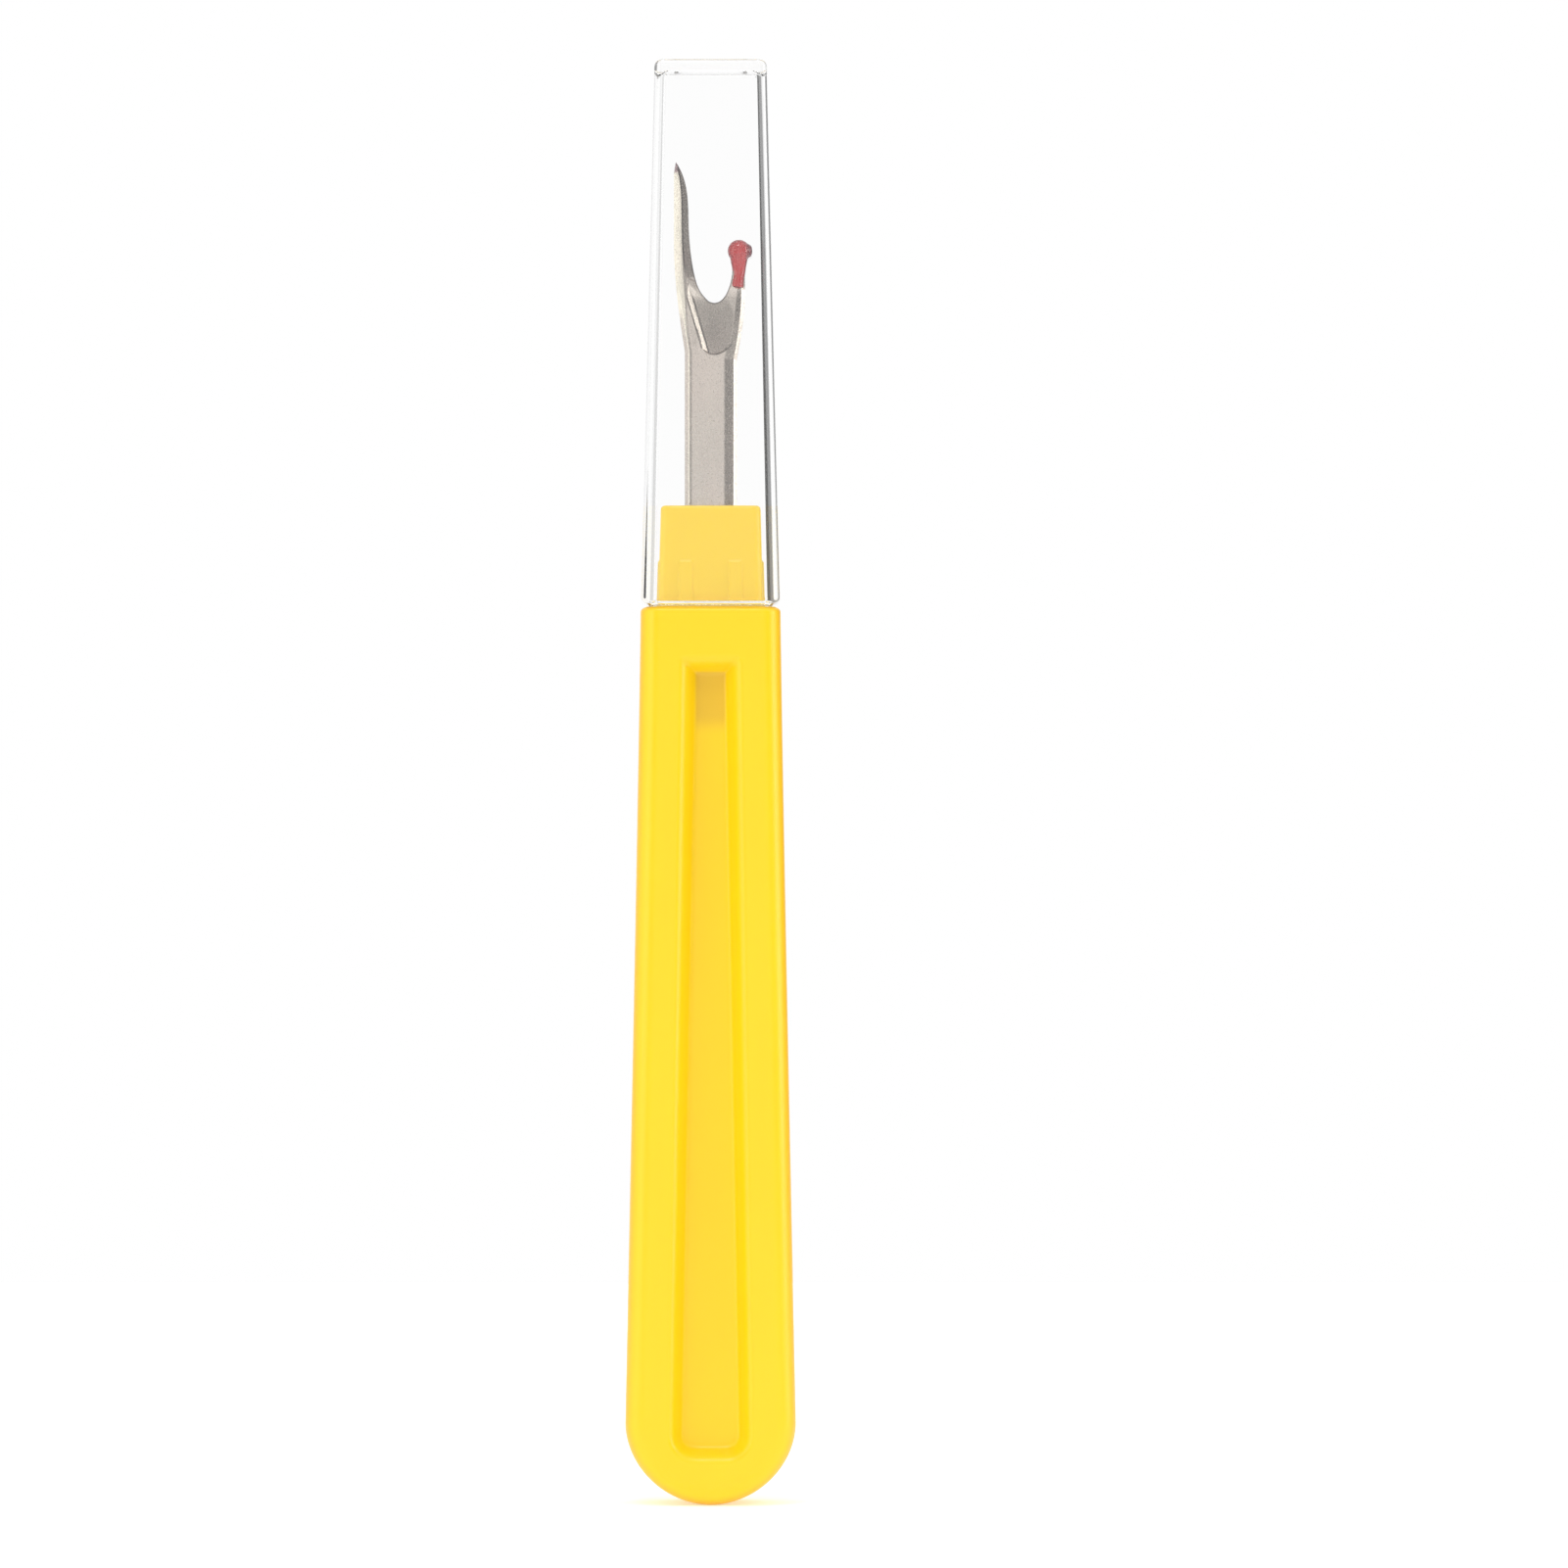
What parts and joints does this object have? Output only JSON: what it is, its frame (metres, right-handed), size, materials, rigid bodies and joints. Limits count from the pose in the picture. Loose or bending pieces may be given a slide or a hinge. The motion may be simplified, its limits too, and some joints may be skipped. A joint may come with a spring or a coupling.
{
  "type": "seam ripper",
  "caption": "Seam ripper with a flat tapered plastic handle, a steel fork blade with a ball guard on its short prong, and a clear slide-off cap.",
  "frame": {"origin": "lowest point of the handle's rounded end, on the centre line", "axes": "+Z along the handle to the blade's tip, +X towards the short prong, -Y out of the front face"},
  "size_m": [0.0156, 0.009, 0.132],
  "materials": {
    "handle_plastic": "satin",
    "blade_steel": "satin",
    "guard_plastic": "gloss",
    "cap_plastic": "gloss"
  },
  "bodies": {
    "ripper": {"handle": "handle_plastic", "fork_blade": "blade_steel", "ball_guard": "guard_plastic"},
    "cap": {"clear_cap": "cap_plastic"}
  },
  "joints": [
    {"name": "cap_slide", "type": "slide", "parent": "ripper", "child": "cap", "axis": [0, 0, 1], "range_m": [0, 0.045]}
  ]
}
